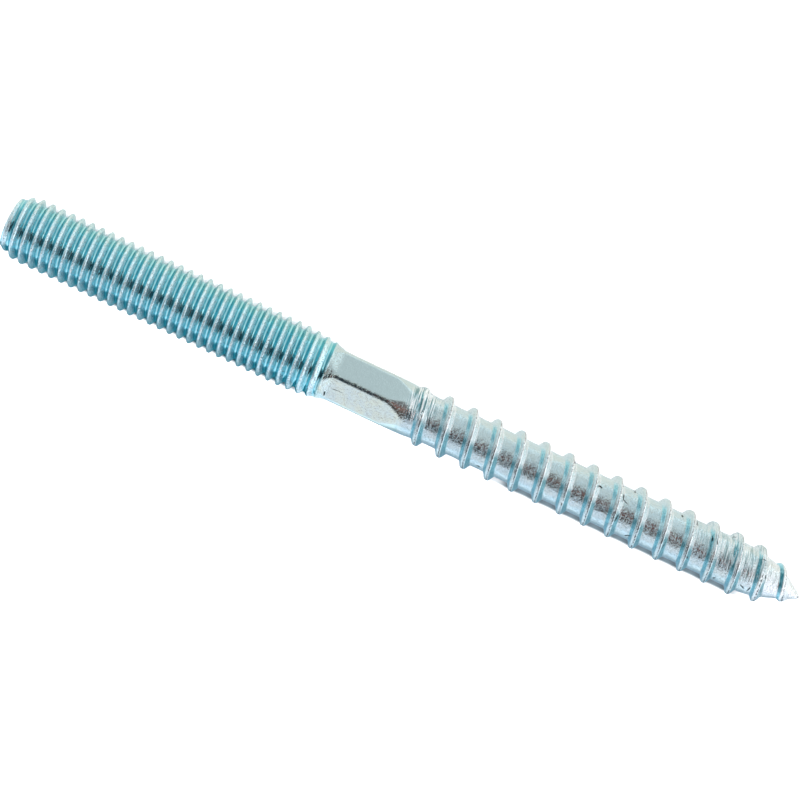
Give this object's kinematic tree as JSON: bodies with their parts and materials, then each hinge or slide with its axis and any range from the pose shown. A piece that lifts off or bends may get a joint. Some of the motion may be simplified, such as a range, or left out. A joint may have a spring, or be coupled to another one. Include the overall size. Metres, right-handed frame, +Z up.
{
  "type": "hanger bolt",
  "caption": "Headless double-ended screw: a metric thread for a nut at one end, a coarse wood thread with a gimlet point at the other, and a pressed grip between.",
  "frame": {"origin": "centre of the metric end's face, on the bolt's axis", "axes": "+X along the bolt from the metric end to the point, +Z up as it lies, with an edge of the six-sided grip at the top"},
  "size_m": [0.1, 0.0078, 0.0078],
  "materials": {
    "zinc_plated_steel": "bright zinc plating with a blue passivation"
  },
  "bodies": {
    "root": {"hanger_bolt": "zinc_plated_steel"}
  },
  "joints": []
}
